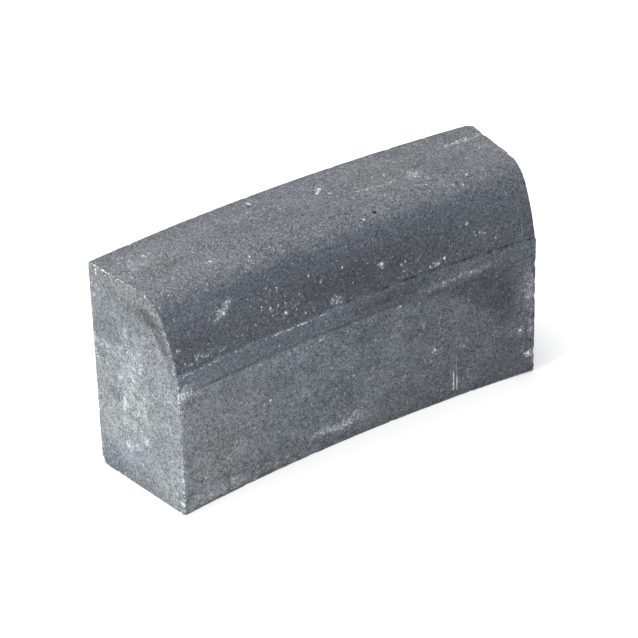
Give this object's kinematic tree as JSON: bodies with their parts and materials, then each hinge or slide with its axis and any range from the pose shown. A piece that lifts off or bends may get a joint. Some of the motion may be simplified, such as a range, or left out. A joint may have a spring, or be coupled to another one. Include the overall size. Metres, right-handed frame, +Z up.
{
  "type": "radius kerb stone",
  "caption": "Curved precast concrete kerb and edging stone with a concave front face, battered flank, rounded nose and flat top.",
  "frame": {"origin": "bottom centre of the bounding box: on the bed plane, midway along the chord and midway between the front corners and the back of the arc", "axes": "+X along the chord between the two end faces, +Y towards the convex back face, -Y towards the concave front face, +Z up to the flat top"},
  "size_m": [0.4988, 0.1536, 0.25],
  "materials": {
    "facing_concrete": "fine grained dark grey facing concrete, matt, lightly weathered",
    "core_concrete": "coarser grey backing concrete, matt, with pale lime bloom"
  },
  "bodies": {
    "root": {"facing_layer": "facing_concrete", "core_concrete": "core_concrete"}
  },
  "joints": []
}
